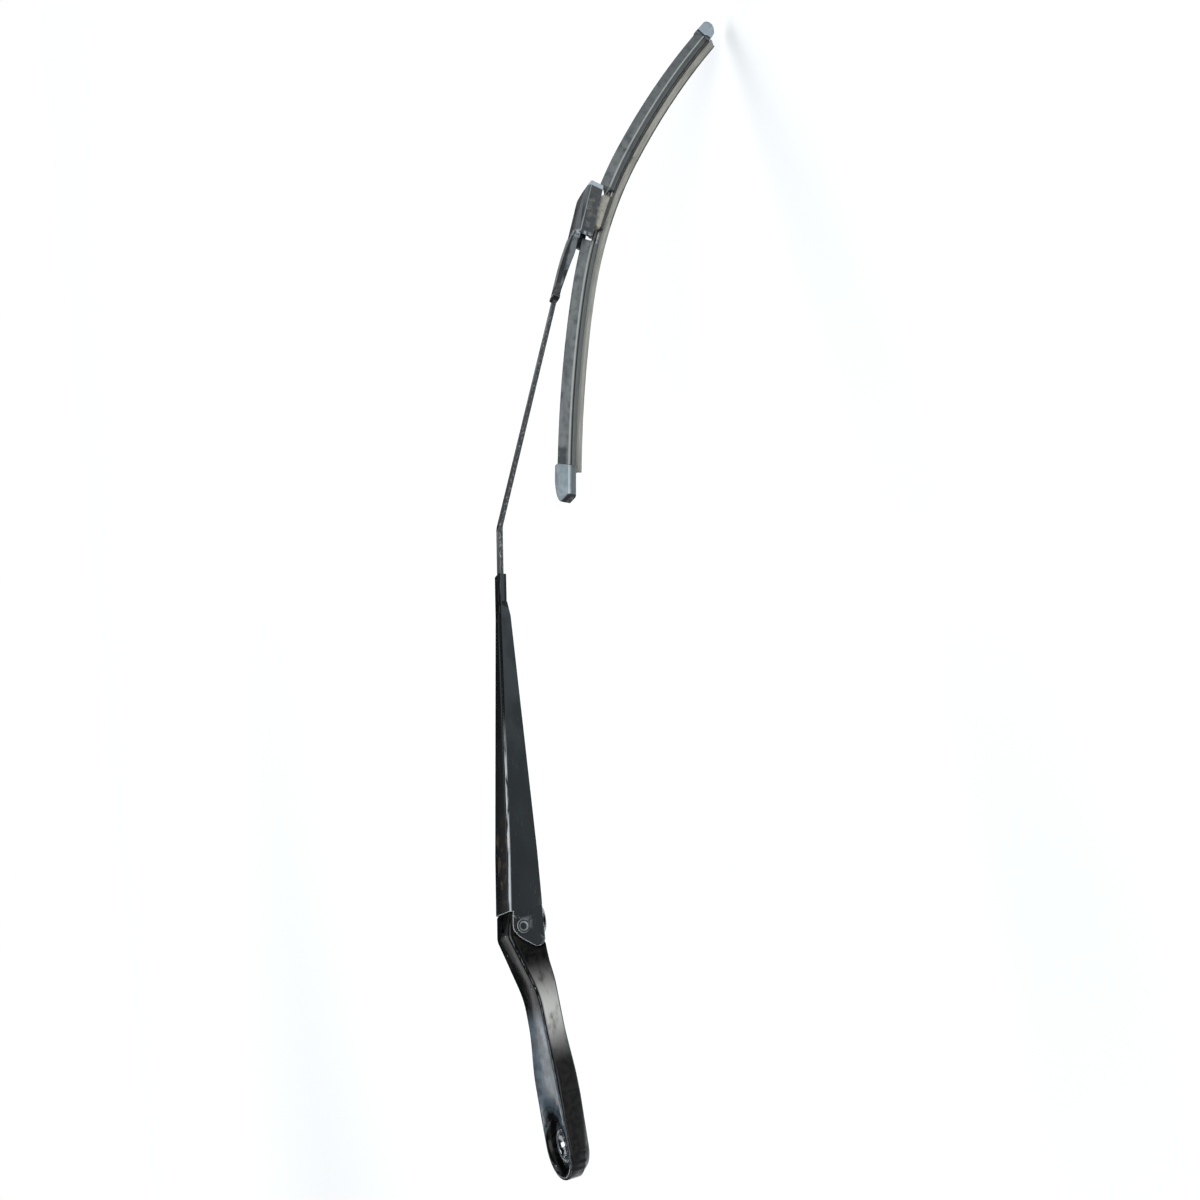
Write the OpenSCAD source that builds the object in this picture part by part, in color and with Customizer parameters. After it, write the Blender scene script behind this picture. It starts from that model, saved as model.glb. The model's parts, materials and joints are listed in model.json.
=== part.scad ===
// Front wiper arm with a flat, curved wiper blade.
// Origin: centre of the nut seat on the spindle axis. +Z points outwards, away from the glass,
// +X runs along the arm towards the blade, and Y is across it.

/* [Spindle end] */
// Radius of the round end over the spindle
end_r = 18; // [17.5:0.25:20]
// Diameter of the recess for the nut
recess_d = 31; // [29:0.5:32]
// Depth of the nut seat below the rim of the recess
seat_depth = 3.7; // [3:0.1:5]
// Diameter of the raised nut seat
seat_d = 19; // [17:0.5:21]
// Depth of the moat round the seat, below the seat
moat_depth = 3.8; // [2.4:0.2:5]
// Thickness of the head below the nut seat
base_depth = 9.8; // [9:0.2:11]
// Radius of the hole for the spindle
bore_r = 6; // [5:0.25:7]
// Length of the straight wall of that hole
bore_land = 6; // [4:0.5:7.5]

/* [Pivot] */
// Distance from the spindle to the pivot
pivot_x = 124.6; // [118:0.2:132]
// Height of the pivot above the nut seat
pivot_z = 3.9; // [3:0.1:5]
// Slope of the folded-down arm, in degrees
droop = 10.5; // [9:0.5:12]
// How far the arm lifts from the glass, in degrees
lift = 68; // [50:1:70]
// Radius of the rivet's shank
rivet_r = 3; // [2.5:0.1:3.4]
// Radius of the rivet's heads
rivet_head_r = 4.1; // [3.8:0.1:4.6]
// Wall of the bushes round the rivet
bush_wall = 1; // [0.8:0.1:1.4]

/* [Channel] */
// Width of the channel at the pivot
channel_w = 26; // [24:0.5:28]
// Thickness of the folded sheet
sheet = 1.2; // [1:0.05:1.4]
// Outer radius of the fold along the top edges
fold_r = 2.3; // [1.6:0.1:3]
// Height of the channel's top above the pivot
channel_top = 8.4; // [8:0.1:9]
// Depth of the channel's edge below the pivot
channel_drop = 13.6; // [13:0.1:14.5]
// Distance from the pivot to where the taper starts
taper_x = 45; // [35:1:60]
// Distance from the pivot to the shoulder at the narrow end
shoulder_x = 202; // [190:1:210]
// Length of the closed tip that is crimped round the rod
tip_len = 20; // [14:1:26]

/* [Rod] */
// Width of the flat rod
rod_w = 7; // [6:0.25:8]
// Thickness of the flat rod
rod_t = 3; // [2.5:0.1:3.4]
// Distance from the pivot to the bend in the rod
bend_x = 268; // [255:1:285]
// Angle of that bend, in degrees
bend = 13.5; // [10:0.5:16]
// Length of the rod from the bend to the blade holder
rod_run = 206; // [190:1:220]
// Depth of the rod inside the holder's sleeve
rod_seat = 30; // [20:1:34]

/* [Blade holder] */
// Thickness of the holder's sheet
holder_sheet = 1.5; // [1.2:0.1:1.8]
// Wall of the sleeve round the rod
sleeve_wall = 1; // [0.8:0.1:1.3]
// Length from the sleeve's mouth to the hood
neck_len = 66; // [60:1:75]
// Length of the hood
hood_len = 59; // [54:1:64]
// Width of the hood
hood_w = 20; // [19.5:0.25:21]
// Depth of the hood's edge below the middle of the rod
hood_drop = 15.2; // [14.4:0.2:15.4]

/* [Blade] */
// Radius of the blade's curve about its pin, measured at the steel rails
blade_r = 620; // [600:5:660]
// Radius of the flatter curve of its two ends
flat_r = 1340; // [1200:20:1500]
// Distance from the pin to where the flatter ends start
mid_len = 80; // [70:2:90]
// Length of the blade from its pin to the tip near the spindle
inner_len = 261; // [240:1:290]
// Length of the blade from its pin to the far tip
outer_len = 284; // [260:1:310]
// Width of the blade
blade_w = 15; // [14.5:0.25:16]
// Height of the spoiler above the rails
spoiler_h = 11.4; // [9:0.2:13]
// Thickness of a rail
rail_t = 1.1; // [0.9:0.05:1.2]
// Height of the rubber below the rails
rubber_drop = 9; // [8.2:0.2:11]
// Radius of the pin that carries the blade
pin_r = 2.5; // [2:0.1:2.8]
// Angle between the blade and the hood at rest, in degrees
blade_tilt = 3.8; // [3:0.1:4.3]

/* [Clearances] */
// Gap round a shaft that turns
running = 0.05; // [0.03:0.01:0.08]
// Gap between pieces that are fixed together
seat_gap = 0.05; // [0.02:0.01:0.1]
// Gap between faces that slide past each other
side_gap = 0.3; // [0.25:0.05:0.4]
// Gap between the head's shoulder and the channel's tongue
shoulder_gap = 1; // [0.8:0.1:1.4]

/* [Hidden] */
$fn = 64;
far = 60;

// Head: it dips behind the recess, then climbs to the channel's top, which it meets at crest_x
shaft_half = 14.1;
shaft_start = 34;
shaft_end = 68;
dip = 1.15;
climb_x = pivot_x - 41;
crest = [-6.4, channel_top];
crest_x = pivot_x + crest[0] * cos(droop) + crest[1] * sin(droop);
crest_z = pivot_z - crest[0] * sin(droop) + crest[1] * cos(droop);
climb = (crest_z - seat_depth + dip) / (crest_x - climb_x);
ear_half = channel_w / 2 - sheet - side_gap;
ear_r = 10.8;
heel = [3.4, -5.6];
heel_r = 9.6;
slot_half = 2.5;
bush_r = rivet_r + running + bush_wall;

// Channel outline beside the pivot, and the web's end above it
web_x = sqrt(pow(ear_r + 0.4, 2) - pow(channel_top - sheet, 2));
edge_slope = 0.0712;
function edge_z(x) = edge_slope * x - channel_drop;
tongue = [[web_x - 2.2, channel_top - 2.1, 1], [-2, channel_top - 2.2, 4], [-6.3, 2.2, 12],
    [-8.9, -2.9, 30], [-11.6, -8.6, 3], [-10.2, edge_z(-10.2) + 1.2, 3], [-7, edge_z(-7), 2]];
rod_z = channel_top - sheet - seat_gap - rod_t / 2;
tip_w = rod_w + 2 * (sheet + seat_gap);
tip_bottom = rod_z - rod_t / 2 - seat_gap - sheet;
step_len = 10;
tip_x = shoulder_x + step_len;
neck_w = tip_w + 1;

// Rod
bend_r = 20;
tail_x = 162;
tail_bend_x = 205;
tail_angle = 6;
hook_x = tail_x + 3.6;
hook_z = rod_z - (tail_bend_x - hook_x) * tan(tail_angle);
hook_hole_r = 1.8;

// Link and spring: the link hangs on the anchor pin and pulls on the spring
anchor_r = 2.2;
anchor_reach = 10;
anchor_angle = -110;
anchor = anchor_reach * [cos(anchor_angle), sin(anchor_angle)];
pull = [hook_x, hook_z] - anchor;
pull_angle = atan2(pull[1], pull[0]);
pull_len = norm(pull);
link_half = 1.7;
link_len = 50;
spring_r = 3.8;
wire_r = 0.8;
hook_r = 3.2;
coil_start = link_len + 2 * hook_r + 2;
coil_end = pull_len - 2 * hook_r - 2;

// Holder, in the frame of the rod beyond the bend
sleeve_x = rod_run;
hood_x = rod_run + neck_len;
hood_end = hood_x + hood_len;
hood_top = 0.3;
hood_edge = 5.2;
hood_bevel = 3.9;
hood_corner = 5.5;
hood_line = [[hood_w / 2, -60, 0], [hood_w / 2, hood_top - hood_edge, 0.8],
    [hood_w / 2 - hood_bevel, hood_top - 1.1, 2.5], [hood_w / 2 - hood_bevel - 3, hood_top, 3],
    [-hood_w / 2 + hood_bevel + 3, hood_top, 3], [-hood_w / 2 + hood_bevel, hood_top - 1.1, 2.5],
    [-hood_w / 2, hood_top - hood_edge, 0.8], [-hood_w / 2, -60, 0]];
sleeve_h = rod_t + 2 * (sleeve_wall + seat_gap);
sleeve_w = rod_w + 2 * (sleeve_wall + seat_gap);
pin_x = hood_x + hood_len / 2;
pin_drop = 10;
pin_boss = pin_r + 2.6;
adapter_lo = -7.4;
tab_x = hood_x + 9;
tab_z = -9;
tab_l = 6;
tab_h = 4.6;
tab_travel = 1.4;
tab_lip = 1;

// Blade: its curve is three arcs about axes across the arm, and places on it are lengths from the pin
pin_rise = 12.1;
function turned(l, r) = l / r * 180 / PI;
seam = 0.002;
cap_in_len = 24.5;
cap_out_len = 22;
cap_gap = 0.4;
bridge_in = 14;
bridge_out = 21;
spoiler_clear = hood_len / 2 + 0.6;
spoiler_out_clear = hood_len / 2 + 1.6;
rubber_in = cap_in_len + cap_gap;
rubber_out = 14;
rail_in = 6;
rail_out = 11;
base_r = blade_r - 1.6;
ridge_r = base_r + 5.3;
skirt = 1.2;
top_r = blade_r + spoiler_h;
rail_lo = blade_r - rail_t / 2;
rail_hi = blade_r + rail_t / 2;
rail_in_y = 1.2;
rail_out_y = blade_w / 2 - 2.3;
flange_y = rail_out_y - 1.2;
head_half = 2.4;
head_top_r = rail_hi + 1.9;

function unit(v) = v / norm(v);
function left(v) = [-v[1], v[0]];
function flat(p) = [p[0], p[1]];
// Points of the round corner at b, between the lines to a and c
function fillet(a, b, c, r, n) =
    let (u = unit(a - b), v = unit(c - b), half = acos(u * v) / 2,
        m = b + unit(u + v) * r / sin(half), p = b + u * r / tan(half) - m,
        turn = (180 - 2 * half) * sign(left(p) * (b + v * r / tan(half) - m)))
    [for (k = [0:n]) m + cos(turn * k / n) * p + sin(turn * k / n) * left(p)];
// An outline whose third numbers are the radii of its corners
function rounded(p, n = 6) = [for (i = [0:len(p) - 1])
    let (a = flat(p[(i + len(p) - 1) % len(p)]), b = flat(p[i]), c = flat(p[(i + 1) % len(p)]))
    each (p[i][2] > 0 ? fillet(a, b, c, p[i][2], n) : [b])];
// A line of points moved sideways by d
function beside(p, d) = [for (i = [0:len(p) - 1])
    let (a = unit(flat(p[max(i, 1)]) - flat(p[max(i, 1) - 1])),
        b = unit(flat(p[min(i + 1, len(p) - 1)]) - flat(p[min(i, len(p) - 2)])),
        n = unit(left(a) + left(b)))
    [p[i][0] + n[0] * d / (n * left(a)), p[i][1] + n[1] * d / (n * left(a)), p[i][2]]];

// Frames: of the folded arm at its pivot, of the rod beyond its bend, and of the blade at its pin
module at_arm() translate([pivot_x, 0, pivot_z]) rotate([0, droop, 0]) children();
module at_rod() at_arm() translate([bend_x, 0, rod_z]) rotate([0, bend, 0]) children();
module at_pin() at_rod() translate([pin_x, 0, -pin_drop]) rotate([0, blade_tilt, 0]) children();
// A side outline in x and z, made w wide across the arm
module across(w, y = 0) translate([0, y + w / 2, 0]) rotate([90, 0, 0]) linear_extrude(w) children();
// A pin or hole of radius r across the arm, from y0 to y1
module cross_bar(r, y0, y1) translate([0, y0, 0]) rotate([-90, 0, 0]) cylinder(r = r, h = y1 - y0);
// The centre of the blade's middle arc, turned to the length l, then that of an end's arc
module mid_centre(l) at_pin() translate([0, 0, -blade_r - pin_rise]) rotate([0, turned(l, blade_r), 0])
    children();
module end_centre(l) mid_centre(sign(l) * mid_len) translate([0, 0, blade_r - flat_r])
    rotate([0, turned(l - sign(l) * mid_len, flat_r), 0]) children();
// A section in radius and y, turned by angle a about the y axis, from the z axis on
module turned_section(a) rotate([-90, 0, 0]) rotate([0, 0, -90]) rotate_extrude(angle = a, $fn = 720)
    children();
// That section swept along the blade's curve from length a to length b, with hairline seams
// between the three arcs, which ties close
module sweep(a, b) {
    end = mid_len + seam;
    if (a < mid_len && b > -mid_len) mid_centre(max(a, -mid_len))
        turned_section(turned(min(b, mid_len) - max(a, -mid_len), blade_r)) children();
    if (b > end) end_centre(max(a, end)) turned_section(turned(b - max(a, end), flat_r))
        translate([flat_r - blade_r, 0]) children();
    if (a < -end) end_centre(a) turned_section(turned(min(b, -end) - a, flat_r))
        translate([flat_r - blade_r, 0]) children();
}
// A tie inside a swept piece, across the seam on that side
module tie(side, r0, r1, y0, y1) mid_centre(side * mid_len) translate([-1, y0, r0])
    cube([2, y1 - y0, r1 - r0]);
module box2d(x0, x1, y0, y1) translate([x0, y0]) square([x1 - x0, y1 - y0]);

// 0 below a, 1 above b, and a soft step between them
function step(x, a, b) = let (t = min(1, max(0, (x - a) / (b - a)))) t * t * (3 - 2 * t);
// 0 below a, then a line of slope 1, with the kink rounded over w on each side
function kink(x, a, w) = x < a - w ? 0 : x > a + w ? x - a : pow(x - a + w, 2) / 4 / w;
function head_half(x) = end_r + (shaft_half - end_r) * step(x, shaft_start, shaft_end)
    + (channel_w / 2 - shaft_half) * step(x, climb_x, pivot_x);
function head_top(x) = seat_depth - dip * step(x, shaft_start, shaft_end)
    + climb * kink(x, climb_x, 8) - (climb + tan(droop)) * kink(x, crest_x, 2);
function head_bottom(x) = -base_depth + 1.2 * step(x, climb_x + 6, climb_x + 22);
// The head's section at x: bevelled edges below, round edges above
function head_section(x) = let (h = head_half(x), lo = head_bottom(x), hi = head_top(x),
    low = 4.6 - 3.4 * step(x, 0, 26), r = 1.5 + 1.3 * step(x, 4, 44) + 1.4 * step(x, climb_x, crest_x),
    side = [[h - low * 0.8, lo], [h, lo + low], each [for (k = [0:5])
        [h - r + r * cos(18 * k), hi - r + r * sin(18 * k)]]])
    concat(side, [for (i = [len(side) - 1:-1:0]) [-side[i][0], side[i][1]]]);
head_xs = concat([0, 13, 26], [for (x = [34:4:shaft_end]) x], [for (k = [1:3]) shaft_end + k
    * (climb_x - 8 - shaft_end) / 3], [for (k = [1:8]) climb_x - 8 + 2 * k],
    [for (k = [1:5]) climb_x + 8 + k * (crest_x - 2 - climb_x - 8) / 5],
    [crest_x - 1, crest_x, crest_x + 1, crest_x + 2, pivot_x + ear_r + 2]);

module head_body() {
    loft(head_xs, [for (x = head_xs) head_section(x)]);
    // The round end over the spindle
    rotate([0, 0, 90]) rotate_extrude(angle = 180)
        polygon(concat([[0, -base_depth]], [for (p = head_section(0)) if (p[0] > 0) p], [[0, seat_depth]]));
}

// Room for the channel's tongue: its outline and a gap, open to the front and below
module tongue_room() {
    line = beside([for (i = [len(tongue) - 1:-1:1]) tongue[i]], shoulder_gap);
    sweep_dir = [cos(atan2(channel_top, web_x) + lift + 4), sin(atan2(channel_top, web_x) + lift + 4)];
    polygon(rounded(concat([[far, -far, 0], [-11.2, -far, 0]], line,
        [[sweep_dir[0] * 16, sweep_dir[1] * 16, 0], [far, far, 0]])));
    // The tongue's top edge where the arm is lifted
    rotate(lift + 1) polygon([[0, 0], flat(tongue[0]) + [0.5, 0.6], flat(tongue[1]) + [-0.4, 0.6]]);
}

// Outline of the ears round the pivot, open towards the rest of the head
module ears_side() {
    circle(r = ear_r);
    translate(heel) circle(r = heel_r);
    box2d(-4 * far, 0, -far, far);
}

module head() color("#1a1c1e") difference() {
    union() {
        intersection() {
            head_body();
            at_arm() across(2 * far) ears_side();
        }
        at_arm() translate([heel[0], 0, heel[1]]) cross_bar(heel_r, -ear_half - 0.1, ear_half + 0.1);
    }
    for (side = [-1, 1]) at_arm() across(far, side * (ear_half + far / 2)) tongue_room();
    // Recess, with the moat round the nut's seat, then the spindle's hole
    rotate_extrude() polygon(rounded([[seat_d / 2, 0, 0.5], [seat_d / 2 + 0.3, -moat_depth, 1.6],
        [recess_d / 2 - 0.2, -moat_depth, 1.6], [recess_d / 2, -1, 0], [recess_d / 2, far, 0],
        [0, far, 0], [0, 0, 0]]));
    translate([0, 0, -bore_land]) cylinder(r = bore_r, h = far);
    translate([0, 0, -base_depth - 1])
        cylinder(r1 = bore_r + 0.9, r2 = bore_r, h = base_depth + 1 - bore_land);
    // Slot for the link, then the holes for the bushes and the anchor pin
    at_arm() {
        across(2 * slot_half) polygon([[-9.5, -far], [far, -far], [far, far], [-2.4, far],
            [-3, 5.4], [-5.4, 4], [-9.5, -1]]);
        cross_bar(bush_r + seat_gap, -far, far);
        translate([anchor[0], 0, anchor[1]]) cross_bar(anchor_r + seat_gap, -far, far);
    }
}

module bush(side) color("#c9c6b8") at_arm() difference() {
    y0 = side < 0 ? -ear_half : slot_half;
    cross_bar(bush_r, y0, y0 + ear_half - slot_half);
    cross_bar(rivet_r + running, -far, far);
}
module pivot_bush_near() bush(-1);
module pivot_bush_far() bush(1);

module anchor_pin() color("#8c9094") at_arm() translate([anchor[0], 0, anchor[1]])
    cross_bar(anchor_r, -ear_half, ear_half);

module pivot_rivet() color("#2c2e30") at_arm() {
    cross_bar(rivet_r, -channel_w / 2, channel_w / 2);
    for (side = [-1, 1]) rotate([-90 * side, 0, 0]) translate([0, 0, channel_w / 2 + seat_gap])
        rotate_extrude() polygon(rounded([[0, 0, 0], [rivet_head_r, 0, 0], [rivet_head_r, 1.1, 0.7],
            [rivet_head_r - 1.3, 1.4, 0.4], [rivet_head_r - 1.9, 0.5, 0.3], [0, 0.4, 0]]));
    cross_bar(rivet_r - 0.3, -channel_w / 2 - seat_gap - 0.2, channel_w / 2 + seat_gap + 0.2);
}

// Sections in y and z, joined into one solid along x
module loft(xs, sections) {
    n = len(sections[0]);
    last = len(xs) - 1;
    polyhedron([for (i = [0:last], p = sections[i]) [xs[i], p[0], p[1]]], concat(
        [for (j = [0:n / 2 - 2]) each [[j, j + 1, n - 2 - j, n - 1 - j],
            [for (k = [n - 1 - j, n - 2 - j, j + 1, j]) last * n + k]]],
        [for (i = [0:last - 1], j = [0:n - 1]) let (a = i * n + j, b = i * n + (j + 1) % n)
            each [[a, a + n, b + n], [a, b + n, b]]]));
}
// The channel's section: w wide, open below, from height lo to hi, with its top edges folded at r
function fold(w, lo, hi, r) = let (h = w / 2, t = sheet) rounded([[h, lo, 0], [h, hi, r],
    [-h, hi, r], [-h, lo, 0], [t - h, lo, 0], [t - h, hi - t, r - t], [h - t, hi - t, r - t],
    [h - t, lo, 0]], 5);

module channel_plate() {
    start = web_x + 6;
    side_z = channel_top - fold_r - 0.2;
    polygon(concat([[start, side_z], [start, edge_z(start) + 0.1]], rounded(concat(
        [[start - 1, edge_z(start - 1), 0]], [for (i = [len(tongue) - 1:-1:0]) tongue[i]],
        [[web_x, side_z, 0]]))));
}

module arm_channel() color("#33393b") at_arm() {
    loft([web_x, taper_x, shoulder_x, tip_x], [
        fold(channel_w, edge_z(web_x), channel_top, fold_r),
        fold(channel_w, edge_z(taper_x), channel_top, fold_r),
        fold(neck_w, edge_z(shoulder_x), channel_top, fold_r),
        fold(tip_w, tip_bottom, channel_top, sheet + 0.4)]);
    difference() {
        for (side = [-1, 1]) across(sheet, side * (channel_w - sheet) / 2) channel_plate();
        cross_bar(rivet_r + seat_gap, -far, far);
    }
    // The closed tip, crimped round the rod
    difference() {
        translate([tip_x - 1, 0, 0]) rotate([90, 0, 90]) linear_extrude(tip_len + 1)
            polygon(rounded([[-tip_w / 2 + 0.02, tip_bottom + 0.02, 0.8],
                [tip_w / 2 - 0.02, tip_bottom + 0.02, 0.8], [tip_w / 2 - 0.02, channel_top - 0.02, 1.4],
                [-tip_w / 2 + 0.02, channel_top - 0.02, 1.4]]));
        translate([tip_x - 2, 0, rod_z]) rotate([90, 0, 90]) linear_extrude(tip_len + 3)
            square([rod_w + 2 * seat_gap, rod_t + 2 * seat_gap], center = true);
    }
}

// The rod's section, grown by g where it is bent
module rod_section(g = 0) polygon(rounded([for (c = [[-1, -1], [1, -1], [1, 1], [-1, 1]])
    [c[0] * (rod_t / 2 + g), c[1] * (rod_w / 2 + g), 1.2]], 4));
// A straight stretch of rod along x
module rod_bar(l) rotate([0, 90, 0]) linear_extrude(l) rod_section();
// A bend of radius r that turns the rod down by angle a
module rod_bend(a, r) translate([0, 0, -r]) rotate([-90, 0, 0]) rotate([0, 0, -90])
    rotate_extrude(angle = a, $fn = 180) translate([r, 0]) rod_section(0.02);

module wiper_rod() color("#2b2e30") at_arm() {
    lap = 0.3;
    back = bend_r * tan(bend / 2);
    tail_back = bend_r * tan(tail_angle / 2);
    translate([tail_bend_x + tail_back - lap, 0, rod_z])
        rod_bar(bend_x - back - tail_bend_x - tail_back + 2 * lap);
    translate([bend_x - back, 0, rod_z]) rod_bend(bend, bend_r);
    translate([bend_x, 0, rod_z]) rotate([0, bend, 0]) translate([back - lap, 0, 0])
        rod_bar(rod_run + rod_seat - back + lap);
    // The tail dips below the web and holds the spring's hook
    translate([tail_bend_x + tail_back, 0, rod_z]) mirror([1, 0, 0]) rod_bend(tail_angle, bend_r);
    translate([tail_bend_x, 0, rod_z]) rotate([0, -tail_angle, 0]) difference() {
        translate([tail_x - tail_bend_x, 0, 0]) rod_bar(tail_bend_x - tail_x - tail_back + lap);
        translate([(hook_x - tail_bend_x) / cos(tail_angle), 0, -far])
            cylinder(r = hook_hole_r, h = 2 * far);
    }
}

// The hood's outer form, or the form t inside it: side outline, section and plan
module hood_side(t) polygon(rounded([[hood_x - 2 * sign(t), -hood_drop - t, 0],
    [hood_end - t, -hood_drop - t, 1.5 * (1 - sign(t))], [hood_end - t, -7, 4],
    [hood_end - 4.5, -3.6 - t, 4], [hood_end - 18, hood_top - t, 20],
    [hood_x - 2 * sign(t), hood_top - t, 0]]));
module hood_section(t, x, l) translate([x, 0, 0]) rotate([90, 0, 90]) linear_extrude(l)
    polygon(rounded(t > 0 ? beside(hood_line, t) : hood_line));
module hood_plan(t) polygon(rounded([[hood_x - far, t - hood_w / 2, 0],
    [hood_end - t, t - hood_w / 2, hood_corner - t], [hood_end - t, hood_w / 2 - t, hood_corner - t],
    [hood_x - far, hood_w / 2 - t, 0]]));
module hood_form(t) intersection() {
    hood_section(t, hood_x - sign(t), hood_len + sign(t));
    across(hood_w + 2) hood_side(t);
    translate([0, 0, -far]) linear_extrude(2 * far) hood_plan(t);
}
module holder_slice(x, w, lo, hi, r) translate([x, 0, 0]) rotate([90, 0, 90]) linear_extrude(0.01)
    polygon(rounded([[-w / 2, lo, r / 2], [w / 2, lo, r / 2], [w / 2, hi, r], [-w / 2, hi, r]]));

module blade_holder() color("#3d4346") at_rod() {
    flare_x = sleeve_x + 32;
    knee_x = hood_x - 20;
    difference() {
        hood_form(0);
        hood_form(holder_sheet);
        for (side = [-1, 1]) translate([tab_x, side * hood_w / 2, tab_z])
            cube([tab_l + 2 * side_gap, 4 * holder_sheet, tab_h + 2 * side_gap], center = true);
    }
    // The neck widens from the sleeve to the hood and is open below
    difference() {
        union() {
            hull() {
                holder_slice(sleeve_x + 9, sleeve_w, -sleeve_h / 2, sleeve_h / 2, 1.4);
                holder_slice(flare_x, sleeve_w + 0.8, -4.4, sleeve_h / 2 - 0.1, 1.4);
            }
            hull() {
                holder_slice(flare_x, sleeve_w + 0.8, -4.4, sleeve_h / 2 - 0.1, 1.4);
                holder_slice(knee_x, sleeve_w + 4, -5.7, sleeve_h / 2 - 0.8, 1.6);
            }
            hull() {
                holder_slice(knee_x, sleeve_w + 4, -5.7, sleeve_h / 2 - 0.8, 1.6);
                holder_slice(hood_x, hood_w - 1.4, -5.9, hood_top - 0.2, 3);
            }
        }
        hull() {
            holder_slice(sleeve_x + rod_seat + 6, rod_w, -far, rod_t / 2, 1);
            holder_slice(hood_x + 0.1, hood_w - 2 * holder_sheet - 1.4, -far,
                hood_top - holder_sheet - 0.2, 1.6);
        }
        translate([sleeve_x, -rod_w / 2 - seat_gap, -rod_t / 2 - seat_gap])
            cube([rod_seat + 7, rod_w + 2 * seat_gap, rod_t + 2 * seat_gap]);
    }
    // The sleeve, with a crimped ring at its mouth
    difference() {
        translate([sleeve_x, 0, 0]) rotate([90, 0, 90]) {
            linear_extrude(2.6) sleeve_outline(0.25);
            linear_extrude(5) sleeve_outline(-0.2);
            translate([0, 0, 4.2]) linear_extrude(27.9) sleeve_outline(0);
        }
        translate([sleeve_x - 1, -rod_w / 2 - seat_gap, -rod_t / 2 - seat_gap])
            cube([far, rod_w + 2 * seat_gap, rod_t + 2 * seat_gap]);
    }
}
module sleeve_outline(g) polygon(rounded([[-sleeve_w / 2 - g, -sleeve_h / 2 - g, 1],
    [sleeve_w / 2 + g, -sleeve_h / 2 - g, 1], [sleeve_w / 2 + g, sleeve_h / 2 + g, 1.4],
    [-sleeve_w / 2 - g, sleeve_h / 2 + g, 1.4]]));

module adapter() color("#26292b") at_rod() {
    half = hood_w / 2 - holder_sheet - seat_gap;
    cheek = 4.5;
    top = hood_top - holder_sheet - seat_gap;
    x0 = hood_x + 4;
    difference() {
        across(2 * half) {
            polygon(rounded([[x0, adapter_lo, 1], [hood_end - 9, adapter_lo, 1], [hood_end - 22, top, 4],
                [x0, top, 1]]));
            translate([pin_x, -pin_drop]) {
                circle(r = pin_boss);
                polygon([[-pin_boss, 0], [pin_boss, 0], [pin_boss + 1.5, pin_drop + adapter_lo + 1],
                    [-pin_boss - 1.5, pin_drop + adapter_lo + 1]]);
            }
        }
        difference() {
            translate([hood_x - 1, -half - 1, -hood_edge - 3])
                cube([hood_len, 2 * half + 2, hood_edge + 5]);
            hood_section(holder_sheet + seat_gap, hood_x - 2, hood_len + 4);
        }
        across(2 * cheek) box2d(-far, hood_end + far, -far, -pin_drop + 6);
        translate([pin_x, 0, -pin_drop]) cross_bar(pin_r + running, -far, far);
        for (side = [-1, 1]) translate([tab_x, side * half, tab_z])
            cube([tab_l + 2 * (tab_lip + side_gap), 2 * (tab_travel + 1.6),
                tab_h + 2 * (tab_lip + side_gap)], center = true);
    }
}

module release_tab(side) color("#4a4d4e") at_rod() translate([tab_x, side * hood_w / 2, tab_z]) {
    lip_y = -side * (holder_sheet + seat_gap + 0.6);
    translate([0, lip_y, 0])
        cube([tab_l + 2 * tab_lip, 1.2, tab_h + 2 * tab_lip], center = true);
    translate([0, -side * (holder_sheet - 0.25) / 2, 0])
        cube([tab_l, holder_sheet + 0.65, tab_h], center = true);
}
module release_tab_near() release_tab(-1);
module release_tab_far() release_tab(1);

// In the frame of the link: x from the anchor pin towards the spring's far hook
module at_link() at_arm() translate([anchor[0], 0, anchor[1]]) rotate([0, -pull_angle, 0]) children();

module spring_link() color("#6d7276") at_link() difference() {
    across(2 * link_half) difference() {
        union() {
            circle(r = anchor_r + running + 2.2);
            polygon(rounded([[-anchor_r - 2.2, 0, 0], [-3.4, -6.5, 4], [3, -10.8, 12], [15, -10.4, 12],
                [22, -3.5, 8], [link_len + 3.5, -3, 2.9], [link_len + 3.5, 3, 2.9], [20, 2.6, 6],
                [14.5, -2, 5], [12, -5.6, 4], [4.5, -5.6, 3], [anchor_r + 1.6, 0, 0]]));
        }
        circle(r = anchor_r + running);
    }
    translate([link_len, 0, 0]) cross_bar(1.6, -far, far);
    // Its front end is thin, so that the spring's hook goes round it
    for (side = [-1, 1]) across(far, side * (far / 2 + 0.8)) box2d(link_len - 5, link_len + far, -far, far);
}

// A wire hook: straight from x = 0, then a loop that reaches to x = l in a plane turned about x
module wire_hook(l, turn) rotate([turn, 0, 0]) {
    rotate([0, 90, 0]) cylinder(r = wire_r, h = l - 2 * hook_r);
    translate([l - hook_r, 0, 0]) rotate([90, 0, 0]) rotate([0, 0, 180])
        rotate_extrude(angle = -250) translate([hook_r, 0]) circle(r = wire_r);
}

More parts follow.
